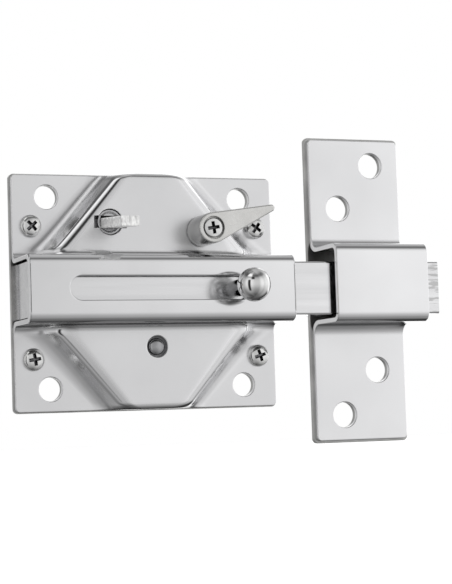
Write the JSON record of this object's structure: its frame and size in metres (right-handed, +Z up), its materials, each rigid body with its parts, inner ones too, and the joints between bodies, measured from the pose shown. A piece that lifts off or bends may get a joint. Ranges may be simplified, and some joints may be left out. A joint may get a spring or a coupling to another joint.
{
  "type": "surface-mounted sliding bolt lock with strike",
  "caption": "Surface-mounted door bolt lock: pressed case with knob-driven sliding bolt, key hub, safety lever and push button, and a boxed strike for the frame.",
  "frame": {"origin": "middle of the case's flat mounting face, level with the bolt's axis", "axes": "+X the way the bolt is thrown towards the strike, +Z up, +Y into the door (the front faces -Y)"},
  "size_m": [0.1881, 0.0515, 0.1366],
  "materials": {
    "polished_nickel": "polished nickel plate",
    "zinc_steel": "zinc plate",
    "bright_screws": "bright plate",
    "brushed_bolt": "brushed along its length",
    "chrome_knob": "mirror",
    "satin_zinc": "satin plated die casting",
    "knurled_bar": "serrated",
    "satin_steel": "satin",
    "spring_steel": "drawn wire",
    "brass": "turned"
  },
  "bodies": {
    "case": {"case_cover": "polished_nickel", "back_plate": "zinc_steel", "case_screws": "bright_screws", "bolt_guide_left": "satin_steel", "bolt_guide_right": "satin_steel", "guide_rivets": "zinc_steel", "slide_pad_left": "brass", "slide_pad_right": "brass", "hub_bush": "brass", "lever_bush": "brass", "button_sleeve": "brass", "button_spring": "spring_steel"},
    "sliding_bolt": {"bolt": "brushed_bolt", "knob_stem": "chrome_knob", "knob_ball": "chrome_knob"},
    "key_hub": {"cam_hub": "satin_steel", "throw_cam": "satin_steel", "connecting_bar": "knurled_bar"},
    "lever": {"safety_lever": "satin_zinc", "lever_spindle": "satin_steel", "lever_screw": "bright_screws", "lever_washer": "bright_screws", "lock_cam": "satin_steel"},
    "button": {"push_button": "satin_steel", "lock_tongue": "satin_steel", "tongue_clip": "spring_steel"},
    "strike": {"strike_bracket": "polished_nickel", "strike_backing": "zinc_steel"}
  },
  "joints": [
    {"name": "bolt_slide", "type": "slide", "parent": "case", "child": "sliding_bolt", "axis": [1, 0, 0], "range_m": [-0.0686, 0]},
    {"name": "key_turn", "type": "hinge", "parent": "case", "child": "key_hub", "pos_m": [-0.0188, 0, 0.029], "axis": [0, -1, 0], "range_deg": [0, 100]},
    {"name": "lever_turn", "type": "hinge", "parent": "case", "child": "lever", "pos_m": [0.0217, 0, 0.0252], "axis": [0, -1, 0], "range_deg": [0, 90]},
    {"name": "button_press", "type": "slide", "parent": "case", "child": "button", "axis": [0, 1, 0], "range_m": [0, 0.0025], "stiffness_N_per_m": 500, "springref_m": -0.002, "deforming": ["button_spring"]},
    {"name": "strike_set", "type": "slide", "parent": "case", "child": "strike", "axis": [1, 0, 0], "range_m": [-0.015, 0.007]}
  ]
}
